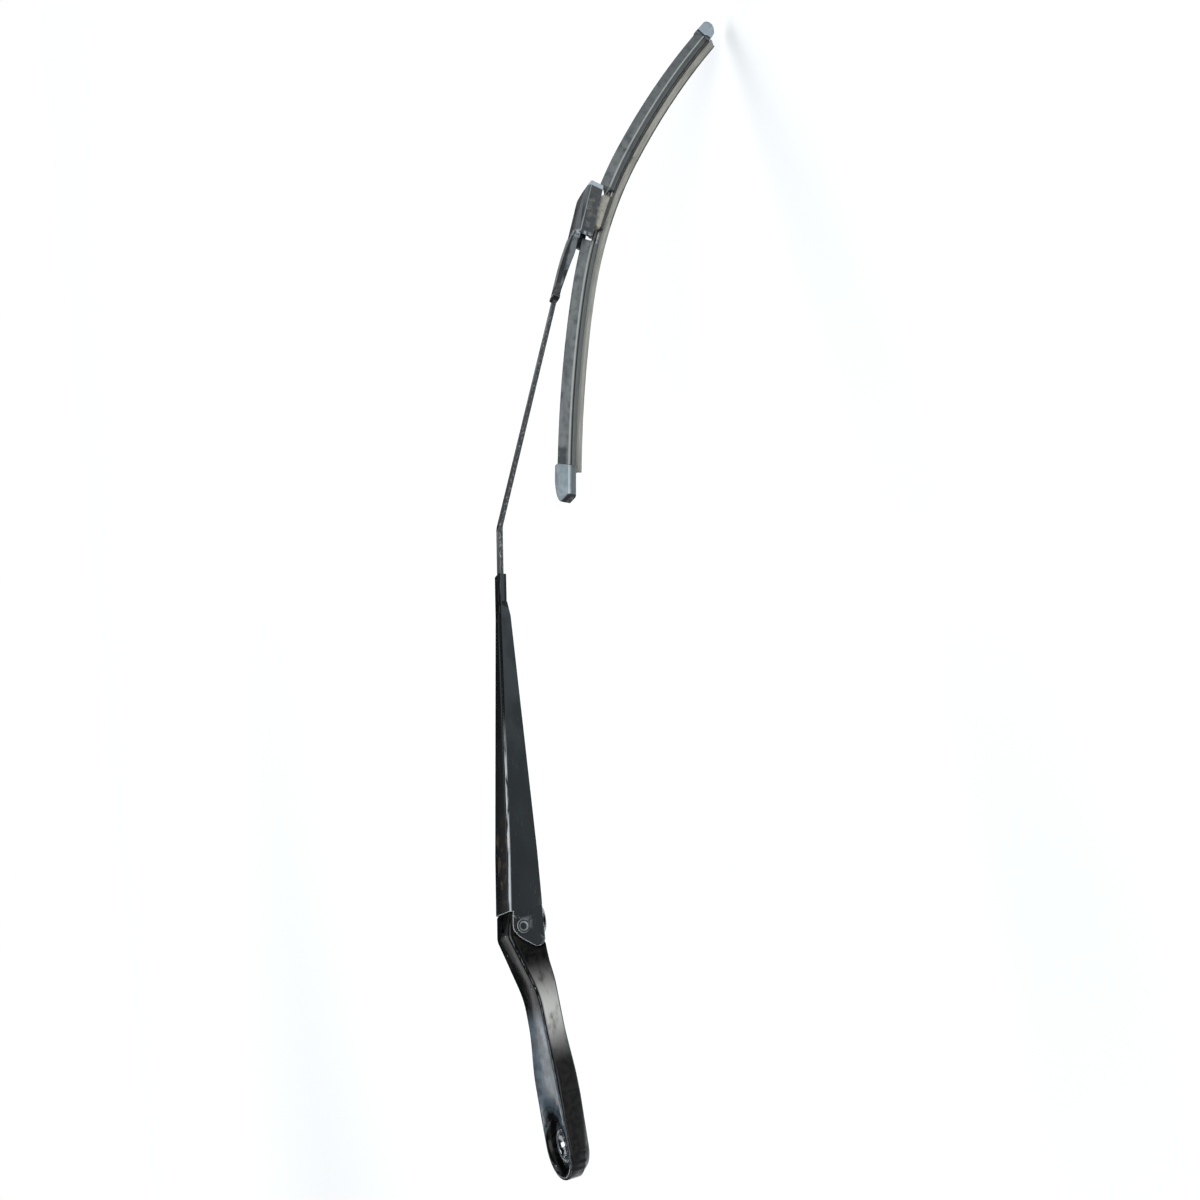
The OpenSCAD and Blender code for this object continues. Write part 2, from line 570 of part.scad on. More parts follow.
module tension_spring() color("#85898c") at_link() {
    coils = floor((coil_end - coil_start) / (2 * wire_r));
    pitch = (coil_end - coil_start) / coils;
    translate([coil_start, 0, 0]) rotate([0, 90, 0]) difference() {
        rotate_extrude() polygon(concat([[0, 0]], [for (i = [0:coils - 1], k = [1:5])
            [spring_r - wire_r * (1 - sin(30 * k)), pitch * (i + k / 6)]], [[0, pitch * coils]]));
        translate([0, 0, -1]) cylinder(r = spring_r - 2 * wire_r, h = coil_end - coil_start + 2);
    }
    for (end = [[coil_end, 1, pull_len - coil_end, 0], [coil_start, -1, coil_start - link_len, 90]])
        translate([end[0], 0, 0]) scale([end[1], 1, 1]) translate([-wire_r, 0, 0]) {
            wire_hook(end[2] + wire_r, end[3]);
            rotate([0, 90, 0]) cylinder(r = spring_r - wire_r, h = 1.4 * wire_r);
        }
}

// Room inside a spoiler, bridge or cap for the rails and the rubber's head
module rail_room() {
    box2d(rail_lo - 0.15, rail_hi + 0.15, -rail_out_y - 0.1, rail_out_y + 0.1);
    box2d(rail_hi, head_top_r + 0.2, -head_half - 0.2, head_half + 0.2);
    box2d(base_r - 5, rail_lo, -flange_y, flange_y);
}

module spoiler_section() difference() {
    half = blade_w / 2;
    polygon(rounded([[base_r, skirt - half, 0.4], [ridge_r - 1.6, skirt - half, 0.5],
        [ridge_r - 0.6, -half, 0.4], [ridge_r, -half, 0.4], [ridge_r + 0.5, -half + 0.6, 0.6],
        [ridge_r + 3.9, -half + 1.6, 16], [top_r, -half + 2.5, 0.5], [top_r, -half + 3.8, 0.6],
        [ridge_r + 2.6, -0.6, 9], [ridge_r + 0.6, 3.2, 9], [ridge_r, half, 0.5],
        [ridge_r - 0.6, half, 0.4], [ridge_r - 1.6, half - skirt, 0.5], [base_r, half - skirt, 0.4]]));
    rail_room();
}
module spoiler(a, b) color("#5d6160") {
    sweep(a, b) spoiler_section();
    tie(sign(a + b), ridge_r - 0.8, ridge_r + 0.2, -5.5, 2.5);
}
module spoiler_inner() spoiler(cap_in_len + cap_gap - inner_len, -spoiler_clear);
module spoiler_outer() spoiler(spoiler_out_clear, outer_len - cap_out_len - cap_gap);

module rubber_element() color("#8f8d83") {
    shoulder = rail_lo - 0.1;
    shoulder_y = flange_y - side_gap;
    lip_r = blade_r - rubber_drop;
    for (side = [-1, 1]) tie(side, shoulder - 3.3, shoulder - 2.1, -3, 3);
    sweep(rubber_in - inner_len, outer_len - rubber_out) union() {
        box2d(rail_hi + 0.1, head_top_r, -head_half, head_half);
        box2d(shoulder - 0.1, rail_hi + 0.2, -rail_in_y + 0.1, rail_in_y - 0.1);
        box2d(shoulder - 1.5, shoulder, -shoulder_y, shoulder_y);
        box2d(shoulder - 2.2, shoulder - 1.4, -1, 1);
        polygon(rounded([[shoulder - 1.9, -shoulder_y, 0.5], [shoulder - 1.9, shoulder_y, 0.5],
            [shoulder - 3.6, shoulder_y - 0.4, 1], [lip_r + 1.7, 0.9, 1], [lip_r, 0.4, 0],
            [lip_r, -0.4, 0], [lip_r + 1.7, -0.9, 1], [shoulder - 3.6, 0.4 - shoulder_y, 1]]));
    }
}

module flexor_rail(side) color("#9a9c9c") {
    y0 = side < 0 ? -rail_out_y : rail_in_y;
    y1 = side < 0 ? -rail_in_y : rail_out_y;
    sweep(rail_in - inner_len, outer_len - rail_out) box2d(rail_lo, rail_hi, y0, y1);
    for (end = [-1, 1]) tie(end, rail_lo + 0.1, rail_hi - 0.1, y0 + 0.2, y1 - 0.2);
}
module flexor_rail_near() flexor_rail(-1);
module flexor_rail_far() flexor_rail(1);

// The bridge clips round the rails and carries the pin; its upper part stands inside the hood
module blade_bridge() color("#a9a69c") {
    half = blade_w / 2 + 0.9;
    bridge_r = ridge_r + 0.6;
    deck = bridge_r - blade_r - pin_rise;
    rim = pin_drop - hood_drop;
    in_x = 0.3 - bridge_in;
    out_x = bridge_out - 0.3;
    sweep(-bridge_in, bridge_out) difference() {
        polygon(rounded([[base_r, -half, 0.6], [bridge_r, -half, 0.8], [bridge_r, half, 0.8],
            [base_r, half, 0.6]]));
        rail_room();
    }
    at_pin() difference() {
        union() {
            difference() {
                across(hood_w - 2 * holder_sheet - 1) polygon(rounded([[in_x, deck - 0.8, 0],
                    [out_x, deck - 0.8, 0], [out_x, deck + 1, 0.8],
                    [out_x - 6, rim + 1.2 + (out_x - 6) * tan(blade_tilt), 2],
                    [in_x, rim + 1.2 + in_x * tan(blade_tilt), 0.8]]));
                across(far) box2d(-pin_boss - 2.5, pin_boss + 2.5, rim - 0.5, far);
            }
            across(8.4) {
                circle(r = pin_boss);
                polygon([[-14, deck - 0.6], [14, deck - 0.6], [pin_boss, 0], [-pin_boss, 0]]);
            }
        }
        cross_bar(pin_r + seat_gap / 2, -far, far);
    }
}

module bridge_pin() color("#8c9094") at_pin() cross_bar(pin_r, -8.2, 8.2);

module cap_section() {
    half = blade_w / 2 + 0.4;
    polygon(rounded([[base_r - 0.3, -half, 1.2], [ridge_r - 1, -half, 0.6],
        [ridge_r - 0.2, -half + 0.8, 0.6],
        [top_r + 0.9, -half + 2.2, 1.6], [top_r + 1.1, -1.6, 2], [ridge_r + 3.4, half - 2.4, 6],
        [ridge_r - 0.6, half, 1.5], [base_r - 0.3, half, 1.2]]));
}
// A cap reaches l from the tip at length tip; dir is 1 where it lies on the outer side of the tip.
// Its nose has a side outline and round corners, and the rails end at stop
module cap(tip, dir, l, nose, stop, corner) difference() {
    half = blade_w / 2 + 1;
    b = tip + dir * l;
    inner = tip + dir * stop;
    intersection() {
        sweep(min(tip, b), max(tip, b)) cap_section();
        at_tip(tip) scale([dir, 1, 1]) across(far) polygon(rounded(nose));
        at_tip(tip) scale([dir, 1, 1]) translate([0, 0, -far]) linear_extrude(2 * far)
            polygon(rounded([[0.05, -half, 0.6 * corner], [far, -half, 0], [far, half, 0],
                [0.05, half, corner]]));
    }
    sweep(min(inner, b + dir * far), max(inner, b + dir * far)) rail_room();
}
// The frame at a tip of the blade: x along the blade, z outwards
module at_tip(l) end_centre(l) translate([0, 0, flat_r]) children();
module end_cap_inner() color("#8d9598") cap(-inner_len, 1, cap_in_len, [[0.2, -far, 0],
    [0.1, 2.5, 2.5], [5, spoiler_h - 1.2, 9], [16, spoiler_h + 1.6, 16], [far, spoiler_h + 1.8, 0],
    [far, -far, 0]], rail_in - 1, 6);
module end_cap_outer() color("#97a4b0") cap(outer_len, -1, cap_out_len, [[rail_out - 1, -far, 0],
    [rail_out - 1, base_r - blade_r - 0.4, 1], [0.1, 5, 4], [0.1, spoiler_h + 1.2, 5.4],
    [far, spoiler_h + 1.6, 0], [far, -far, 0]], rail_out - 1, 5);

head();
pivot_bush_near();
pivot_bush_far();
anchor_pin();
arm_channel();
pivot_rivet();
wiper_rod();
blade_holder();
adapter();
release_tab_near();
release_tab_far();
spring_link();
tension_spring();
blade_bridge();
bridge_pin();
flexor_rail_near();
flexor_rail_far();
rubber_element();
spoiler_inner();
spoiler_outer();
end_cap_inner();
end_cap_outer();
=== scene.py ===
# %% [markdown]
# This scene dresses a car's front wiper arm. The solids come from the CAD frame, each one a
# separate part of the real arm. We load them first, keep them where they are, and then give every
# surface its finish. Everything is in metres, with the spindle's nut seat at the origin, Z away
# from the windscreen and X along the arm.

# %% Load the frame
import json
import math

import bpy
from mathutils import Matrix, Vector


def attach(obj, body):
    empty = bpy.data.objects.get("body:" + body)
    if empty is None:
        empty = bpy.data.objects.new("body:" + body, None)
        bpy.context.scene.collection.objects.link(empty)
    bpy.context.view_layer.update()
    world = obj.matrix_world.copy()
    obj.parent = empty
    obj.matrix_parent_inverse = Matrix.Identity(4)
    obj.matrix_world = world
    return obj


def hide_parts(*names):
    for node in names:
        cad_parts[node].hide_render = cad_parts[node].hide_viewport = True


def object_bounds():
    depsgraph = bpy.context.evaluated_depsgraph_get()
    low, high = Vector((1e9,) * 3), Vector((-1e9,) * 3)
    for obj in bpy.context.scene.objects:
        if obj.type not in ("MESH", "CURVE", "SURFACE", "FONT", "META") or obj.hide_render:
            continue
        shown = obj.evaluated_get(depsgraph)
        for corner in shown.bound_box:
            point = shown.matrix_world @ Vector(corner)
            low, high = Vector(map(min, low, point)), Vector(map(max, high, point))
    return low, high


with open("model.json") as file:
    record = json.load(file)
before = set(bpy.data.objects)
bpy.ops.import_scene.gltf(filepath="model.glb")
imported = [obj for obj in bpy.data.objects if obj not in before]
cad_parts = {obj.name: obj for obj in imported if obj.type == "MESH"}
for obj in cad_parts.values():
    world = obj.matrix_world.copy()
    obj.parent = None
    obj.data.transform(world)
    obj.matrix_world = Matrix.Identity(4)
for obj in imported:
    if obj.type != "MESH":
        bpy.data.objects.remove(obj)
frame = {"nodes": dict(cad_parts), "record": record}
nodes = frame["nodes"]
cad_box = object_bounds()
MM = 0.001
print("CAD box, mm:", [tuple(round(v / MM, 1) for v in corner) for corner in cad_box])

# %% [markdown]
# The camera comes next, because every later choice is judged through it. The arm was photographed
# from close to its spindle end, so the head looms large and the blade's far tip shrinks away. A
# 36 mm lens on a 36 mm sensor gives that spread. We set the camera by the three directions of its
# own axes, because the picture is turned on its side: the arm's length runs up it.

# %% Camera
camera_data = bpy.data.cameras.new("camera")
camera_data.lens = 36
camera_data.sensor_width = 36
camera_data.clip_start = 0.01
camera = bpy.data.objects.new("camera", camera_data)
bpy.context.scene.collection.objects.link(camera)
camera_place = Vector((86.85, -703.12, 281.23)) * MM
right = Vector((-0.212707, -0.411096, -0.886428))
up = Vector((0.932349, -0.356839, -0.058236))
back = right.cross(up)
camera_turn = Matrix((right, up, back)).transposed().to_4x4()
camera.matrix_world = Matrix.Translation(camera_place) @ camera_turn
bpy.context.scene.camera = camera
print("camera looks along", tuple(round(-v, 3) for v in back))

# %% [markdown]
# Two small helpers come before any colour. One turns a web colour such as "#2b3032" into the
# linear numbers that a shader works in. The other adds a node to a tree: each thing that it is
# given is set on the node's field or socket, or linked to it when it is another node's output.


# %% Helpers for colour and nodes
def linear(colour):
    """A linear colour from an sRGB hex value."""
    parts = [int(colour[i : i + 2], 16) / 255 for i in (1, 3, 5)]
    return [c / 12.92 if c <= 0.04045 else ((c + 0.055) / 1.055) ** 2.4 for c in parts] + [1]


def add(tree, kind, given=None):
    """Adds a shader node. Each given item is set on its field or socket, or linked to it."""
    node = tree.nodes.new("ShaderNode" + kind)
    for name, value in (given or {}).items():
        if isinstance(name, str) and name not in node.inputs:
            setattr(node, name, value)
        elif isinstance(value, bpy.types.NodeSocket):
            tree.links.new(value, node.inputs[name])
        else:
            node.inputs[name].default_value = value
    return node


print("black paint is", [round(c, 4) for c in linear("#1b1c1e")[:3]], "in linear numbers")

# %% [markdown]
# The arm lies over a plain pale floor, as in a studio, just under the blade's far tip. The camera
# and the glossy paint see a floor that glows by itself just as much as the lamps leave it short of
# white: a little round the spot that they light most, more far away. So the ground looks white
# without more light on the arm. Where the arm keeps the lamps off, the floor falls below white and
# a soft shadow shows.

# %% Floor
FLOOR_GAP = 0.02
LIT_SPOT = (-1.4, -1.5, 0)  # metres from the floor's middle
NEAR, FAR = 1.5, 6  # metres from that spot
GLOW_NEAR, GLOW_FAR = 0.345, 0.75

bpy.ops.object.select_all(action="DESELECT")
bpy.ops.mesh.primitive_plane_add(size=14, location=(0.4, 0, cad_box[0].z - FLOOR_GAP))
floor = bpy.context.object
floor.name = "floor"


def seen_directly(tree):
    """1 for a ray from the camera, from a glossy surface or through glass, and 0 for the rest."""
    rays = add(tree, "LightPath").outputs
    seen = rays["Is Camera Ray"]
    for kind in ("Is Glossy Ray", "Is Transmission Ray"):
        seen = add(tree, "Math", {"operation": "MAXIMUM", 0: seen, 1: rays[kind]}).outputs[0]
    return seen


ground = bpy.data.materials.new("pale floor paint")
ground.use_nodes = True
tree = ground.node_tree
tree.nodes.clear()
matt = add(tree, "BsdfDiffuse", {"Color": linear("#dcdee0")}).outputs[0]
on_floor = add(tree, "TexCoord").outputs["Object"]
from_spot = add(tree, "VectorMath", {"operation": "DISTANCE", 0: on_floor, 1: LIT_SPOT})
fade = {"interpolation_type": "SMOOTHSTEP", 0: from_spot.outputs["Value"], 1: NEAR, 2: FAR}
strength = add(tree, "MapRange", {**fade, 3: GLOW_NEAR, 4: GLOW_FAR}).outputs[0]
glow = add(tree, "Emission", {"Color": (1, 1, 1, 1), "Strength": strength}).outputs[0]
both = add(tree, "AddShader", {0: matt, 1: glow}).outputs[0]
choice = add(tree, "MixShader", {0: seen_directly(tree), 1: matt, 2: both})
add(tree, "OutputMaterial", {"Surface": choice.outputs[0]})
floor.data.materials.append(ground)
print("floor at", round(floor.location.z / MM), "mm")

# %% [markdown]
# The world does the same job above the floor: it is white to look at, and a soft grey as a source
# of light, so that it fills the shadows without washing the black out.

# %% World
world = bpy.data.worlds.new("studio")
bpy.context.scene.world = world
world.use_nodes = True
tree = world.node_tree
tree.nodes.clear()
white = add(tree, "Background", {"Color": (1, 1, 1, 1), "Strength": 1}).outputs[0]
fill = add(tree, "Background", {"Color": linear("#d4dade"), "Strength": 0.5}).outputs[0]
choice = add(tree, "MixShader", {0: seen_directly(tree), 1: fill, 2: white})
add(tree, "OutputWorld", {"Surface": choice.outputs[0]})
print("world of", len(tree.nodes), "nodes")

# %% [markdown]
# Black paint shows its lights more than its colour, so the lamps are placed for what the paint
# mirrors. A big soft lamp over the near side and one overhead light the arm as a window would. A
# long panel low behind the arm lies just where the head's flat top mirrors, and makes it shine
# grey.


# %% Lamps
def aimed(place, target):
    """The turn that points an object's -Z from its place to the target."""
    return (Vector(target) - Vector(place)).to_track_quat("-Z", "Y").to_euler()


for name, place, target, size, power in (
    ("window", (-0.3, -2.2, 1.5), (0.3, 0, -0.1), (2.0, 1.6), 40),
    ("sky", (0.5, 0.4, 2.4), (0.4, 0, -0.1), (2.0, 1.0), 26),
    ("panel", (-0.1, 1.75, 0.93), (0.03, 0, 0), (0.9, 0.44), 4),
):
    bpy.ops.object.select_all(action="DESELECT")
    bpy.ops.object.light_add(type="AREA", location=place, rotation=aimed(place, target))
    lamp = bpy.context.object
    lamp.name = name
    lamp.data.shape = "RECTANGLE"
    lamp.data.size, lamp.data.size_y = size
    lamp.data.energy = power
    print(name, "lamp of", power, "W")

# %% [markdown]
# Cards of black felt stand under and over that panel and hang above the lamps. Only glossy
# surfaces see them: the channel's top and the rounded edges mirror the cards and stay black, with
# a thin bright line where they catch a lamp, as in the photograph.

# %% Black cards
felt = bpy.data.materials.new("black felt")
felt.use_nodes = True
felt_shader = felt.node_tree.nodes["Principled BSDF"]
felt_shader.inputs["Base Color"].default_value = linear("#0b0c0d")
felt_shader.inputs["Roughness"].default_value = 1
for name, place, tilt, size in (
    ("low_card", (0.9, 1.5, 0.12), 90, (6, 1.0)),
    ("high_card", (0.9, 1.5, 2.0), 90, (6, 1.6)),
    ("canopy", (0.4, -0.6, 2.8), 0, (7, 4.2)),
):
    bpy.ops.object.select_all(action="DESELECT")
    bpy.ops.mesh.primitive_plane_add(size=1, location=place, rotation=(math.radians(tilt), 0, 0))
    card = bpy.context.object
    card.name = name
    card.scale = (*size, 1)
    card.visible_camera = False
    card.visible_diffuse = False
    card.visible_shadow = False
    card.data.materials.append(felt)
    print(name, "of", *size, "m")

# %% [markdown]
# Every finish below starts as an empty shader with a frame of its own, in millimetres. The painted
# head is drawn in the object's frame. The channel is drawn in the arm's frame, which sits on the
# rivet, droops with the arm and has X along it, and the rod and the holder in the rod's. That makes
# it easy to say where dust lies or where an edge is worn.

# %% Frames for the patterns
PIVOT, DROOP = (124.6, 0, 3.9), math.radians(10.5)
ROD_X, ROD_Z = 268, 5.65  # the rod's bend, in the arm's frame
ROD_SLOPE = math.radians(24)
ROD_ORIGIN = (
    PIVOT[0] + ROD_X * math.cos(DROOP) + ROD_Z * math.sin(DROOP),
    0,
    PIVOT[2] - ROD_X * math.sin(DROOP) + ROD_Z * math.cos(DROOP),
)


def blank(name, origin=(0, 0, 0), turn=0.0, metallic=0.0, level=0.5):
    """A new material, its tree, its shader, and the place on the piece in mm in that frame."""
    material = bpy.data.materials.new(name)
    material.use_nodes = True
    t = material.node_tree
    shader = t.nodes["Principled BSDF"]
    shader.inputs["Metallic"].default_value = metallic
    shader.inputs["Specular IOR Level"].default_value = level
    own_frame = {
        "vector_type": "TEXTURE",
        "Vector": add(t, "TexCoord").outputs["Object"],
        "Location": [c * MM for c in origin],
        "Rotation": (0, turn, 0),
        "Scale": (MM, MM, MM),
    }
    return material, t, shader, add(t, "Mapping", own_frame).outputs[0]


print("rod frame starts at", tuple(round(c, 1) for c in ROD_ORIGIN))

# %% [markdown]
# A mask is a number from 0 to 1 that says where a surface has something, such as dust on its top
# alone. Masks are multiplied to keep what they share. A range has soft ends, because dirt and wear
# never stop at a ruled line.


# %% Masks
def all_of(t, *masks):
    """A mask that holds only where all the given masks hold."""
    mask = masks[0]
    for other in masks[1:]:
        mask = add(t, "Math", {"operation": "MULTIPLY", 0: mask, 1: other}).outputs[0]
    return mask


def all_but(t, mask):
    """A mask that holds only where the given one doesn't."""
    return add(t, "Math", {"operation": "SUBTRACT", 0: 1, 1: mask}).outputs[0]


def between(t, value, low, high, soft):
    """A mask: 1 where the value lies from low to high, with soft ends."""
    smooth = {"interpolation_type": "SMOOTHSTEP", 0: value}
    rise = add(t, "MapRange", {**smooth, 1: low - soft, 2: low + soft})
    fall = add(t, "MapRange", {**smooth, 1: high - soft, 2: high + soft, 3: 1, 4: 0})
    return all_of(t, rise.outputs[0], fall.outputs[0])


print("mask helpers:", *(helper.__name__ for helper in (all_of, all_but, between)))

# %% [markdown]
# Dirt and wear come as cloudy patches, as round specks or along edges. The patches are a noise
# texture with its middle values drawn apart. For specks, space is cut into cells, and a few cells
# get one each. At an edge, paint goes first: the Bevel node gives the direction that the surface
# would face if the edge were round, and where that differs from the real one, there is an edge.


# %% Patches, specks and worn edges
def blotches(t, place, size, low, high, stretch=(1, 1, 1), detail=3):
    """Cloudy patches about size mm across, longer along an axis where stretch is above 1."""
    lengths = [size * s for s in stretch]
    in_patches = add(t, "VectorMath", {"operation": "DIVIDE", 0: place, 1: lengths}).outputs[0]
    noise = add(t, "TexNoise", {"Vector": in_patches, "Scale": 1, "Detail": detail}).outputs[0]
    smooth = {"interpolation_type": "SMOOTHSTEP", 0: noise, 1: low, 2: high}
    return add(t, "MapRange", smooth).outputs[0]


def specks(t, place, spacing, radius, share):
    """Round specks: one in a cell of that spacing, where the cell's own random number is low."""
    cells = add(t, "TexVoronoi", {"Vector": place, "Scale": 1 / spacing}).outputs
    reach = radius / spacing
    near = add(t, "MapRange", {0: cells["Distance"], 1: 0.6 * reach, 2: reach, 3: 1, 4: 0})
    luck = add(t, "SeparateXYZ", {0: cells["Color"]}).outputs[0]
    chosen = add(t, "Math", {"operation": "LESS_THAN", 0: luck, 1: share})
    return all_of(t, near.outputs[0], chosen.outputs[0])


def worn_edge(t, width, low=0.02, high=0.22):
    """A mask along sharp edges, from how far a rounded normal turns away from the real one."""
    rounded = add(t, "Bevel", {"samples": 6, "Radius": width * MM}).outputs[0]
    real = add(t, "NewGeometry").outputs["Normal"]
    alike = add(t, "VectorMath", {"operation": "DOT_PRODUCT", 0: rounded, 1: real})
    return add(t, "MapRange", {0: alike.outputs["Value"], 1: 1 - low, 2: 1 - high}).outputs[0]


print("wear helpers:", *(helper.__name__ for helper in (blotches, specks, worn_edge)))

# %% [markdown]
# A finish is a base colour with layers over it, as dirt and wear lie over paint. Each layer has a
# colour, a mask and, where it is thin, a strength. Then the colour is linked to the shader, the
# roughness follows one of the masks, and a fine relief breaks up the highlights.


# %% Layers and the finished material
def layered(t, base, layers):
    """The base colour under its layers, each a colour, a mask and, if thin, a strength."""
    colour = linear(base)
    for tint, mask, *strength in layers:
        covers = {"data_type": "RGBA", 0: all_of(t, mask, *strength), 6: colour, 7: linear(tint)}
        colour = add(t, "Mix", covers).outputs[2]
    return colour


def dress(material, colour, rough, rough_mask, grain, depth=0.02):
    """Links colour, a roughness between two values by a mask, and a bump of that depth in mm."""
    t = material.node_tree
    shader = t.nodes["Principled BSDF"]
    t.links.new(colour, shader.inputs["Base Color"])
    spread = add(t, "MapRange", {0: rough_mask, 3: rough[0], 4: rough[1]})
    t.links.new(spread.outputs[0], shader.inputs["Roughness"])
    relief = add(t, "Bump", {"Strength": 1, "Distance": depth * MM, "Height": grain})
    t.links.new(relief.outputs[0], shader.inputs["Normal"])
    print(material.name, "has", len(t.nodes), "nodes")


print("finish helpers:", *(helper.__name__ for helper in (layered, dress)))

# %% [markdown]
# The head is die-cast aluminium with a black powder coat. The coat is glossy and a little wavy.
# Its flat top, short of the rim, is painted a streaky blue-grey. That is partly a film of dust that
# years on a car leave and partly a painted sheen. A dark line runs along the small step behind its
# round end. Where the head climbs to the rivet, its near side has a pale painted highlight, and a
# thin painted highlight runs along its rounded near top edge. Stones have left small pale chips and
# rubbed the edges. The spindle's bore is bare metal.

# %% Where the head's coat has changed
FILM_AND_SHEEN, CLIMB = (-10, 70), (66, 84)  # along X
STEP_R, BORE_R = 22.1, 6.7  # from the spindle's axis, the second just outside the bore's wall

head_paint, t, shader, place = blank("black powder coat on cast aluminium", level=0.12)
x, y, _ = add(t, "SeparateXYZ", {0: place}).outputs
normal = add(t, "NewGeometry").outputs["Normal"]
_, facing_y, facing_z = add(t, "SeparateXYZ", {0: normal}).outputs
is_top = add(t, "MapRange", {0: facing_z, 1: 0.8, 2: 0.98}).outputs[0]
is_near = add(t, "MapRange", {0: facing_y, 1: -0.75, 2: -0.95}).outputs[0]
on_edge = between(t, facing_y, -0.62, -0.42, 0.08)
upward = between(t, facing_z, 0.5, 1.1, 0.1)
rim = worn_edge(t, 3.2, 0.0, 0.03)
in_plan = add(t, "CombineXYZ", {0: x, 1: y}).outputs[0]
from_spindle = add(t, "VectorMath", {"operation": "LENGTH", 0: in_plan}).outputs["Value"]
at_step = between(t, from_spindle, STEP_R - 0.5, STEP_R + 0.5, 0.5)
cloud = blotches(t, place, 11, 0.38, 0.62, (1.6, 0.8, 1))
patchy = blotches(t, place, 5, 0.16, 0.5, (2.2, 1, 1), 7)

# The flat top's film: partly dust, partly a painted sheen.
film_and_sheen = all_of(t, is_top, all_but(t, rim), between(t, x, *FILM_AND_SHEEN, 10))
streaks = blotches(t, place, 4.5, 0.4, 0.66, (1.1, 2.2, 1))
step_line = all_of(t, is_top, at_step, between(t, x, 8, 60, 4))
# A pale painted highlight on the near side, where the head climbs.
side_highlight = all_of(t, is_near, between(t, x, *CLIMB, 22), patchy)
# A thin painted highlight along the rounded near top edge.
edge_highlight = all_of(t, on_edge, upward, blotches(t, place, 1.4, 0.4, 0.55, (2.6, 1, 1)))
rubbed = all_of(t, worn_edge(t, 0.5), blotches(t, place, 3, 0.42, 0.55, (3, 1, 1)))
bore = between(t, from_spindle, -1, BORE_R, 0.2)
print("film from", FILM_AND_SHEEN[0], "to", FILM_AND_SHEEN[1], "mm, haze from", CLIMB[0], "to", CLIMB[1], "mm")

# %% [markdown]
# The part that climbs to the rivet mirrors little, so the shader's specular level falls there. An
# export drops that link, so it isn't used for anything but this small difference.

# %% Black powder coat on cast aluminium
colour = layered(
    t,
    "#0b0c0d",
    (
        ("#65737e", film_and_sheen, 0.92),
        ("#3a444c", all_of(t, film_and_sheen, cloud), 0.7),
        ("#2c343b", all_of(t, film_and_sheen, streaks), 0.6),
        ("#0c0e10", step_line, 0.8),
        ("#1d1c1a", all_of(t, is_near, blotches(t, place, 3, 0.4, 0.6))),
        ("#f2f1ec", side_highlight),
        ("#c9ccce", specks(t, place, 5.5, 0.4, 0.16)),
        ("#6d7275", edge_highlight, 0.6),
        ("#5a5f61", rubbed, 0.4),
        ("#9a9da0", bore),
    ),
)
t.links.new(bore, shader.inputs["Metallic"])
shine = add(t, "MapRange", {0: x, 1: 62, 2: 80, 3: 0.12, 4: 0.03}).outputs[0]
t.links.new(shine, shader.inputs["Specular IOR Level"])
grain = all_of(t, blotches(t, place, 1.6, 0.2, 0.8), all_but(t, bore))
dress(head_paint, colour, (0.12, 0.24), cloud, grain)

# %% [markdown]
# The channel and the rivet are pressed steel under the same black, but thinner and duller: an
# electro-dipped coat. The top is nearly black, with dried brown road dust on it and a faint line
# along its near edge. The fold there has a bright painted highlight over rubbed paint, and the rims
# of the heel and of the rivet are rubbed bright. The near side is painted paler than the top, as a
# painted reflection, and paler still towards the tip, with small scratches and specks.

# %% Where the channel's coat has changed
TAPER, WIDE, NARROW = (45, 202), 13, 5.25  # along X, and half the width before and after it
HEEL, RUB_R = (3.4, 0, -5.6), 7.8  # the middle of the round heel, and where its rubbed rim starts

arm_paint, t, shader, place = blank("black dipped coat on pressed steel", PIVOT, DROOP, level=0.2)
x, y, z = add(t, "SeparateXYZ", {0: place}).outputs
normal = add(t, "NewGeometry").outputs["Normal"]
_, facing_y, facing_z = add(t, "SeparateXYZ", {0: normal}).outputs
is_top = add(t, "MapRange", {0: facing_z, 1: 0.85, 2: 0.97}).outputs[0]
is_near = add(t, "MapRange", {0: facing_y, 1: -0.8, 2: -0.95}).outputs[0]
on_fold = between(t, facing_y, -0.86, -0.3, 0.08)
toward_tip = add(t, "MapRange", {0: x, 1: 40, 2: 200}).outputs[0]
half_width = add(t, "MapRange", {0: x, 1: TAPER[0], 2: TAPER[1], 3: WIDE, 4: NARROW}).outputs[0]
from_edge = add(t, "Math", {"operation": "ADD", 0: y, 1: half_width}).outputs[0]
in_side_view = add(t, "CombineXYZ", {0: x, 2: z}).outputs[0]
to_heel = {"operation": "DISTANCE", 0: in_side_view, 1: HEEL}
from_heel = add(t, "VectorMath", to_heel).outputs["Value"]
past_heel = add(t, "Math", {"operation": "GREATER_THAN", 0: from_heel, 1: RUB_R}).outputs[0]
on_rivet = add(t, "Math", {"operation": "LESS_THAN", 0: y, 1: -WIDE - 0.05}).outputs[0]
rims = add(t, "Math", {"operation": "MAXIMUM", 0: past_heel, 1: on_rivet}).outputs[0]

inner_line = all_of(t, is_top, between(t, from_edge, 3.1, 3.9, 0.3), between(t, x, 4, 190, 20))
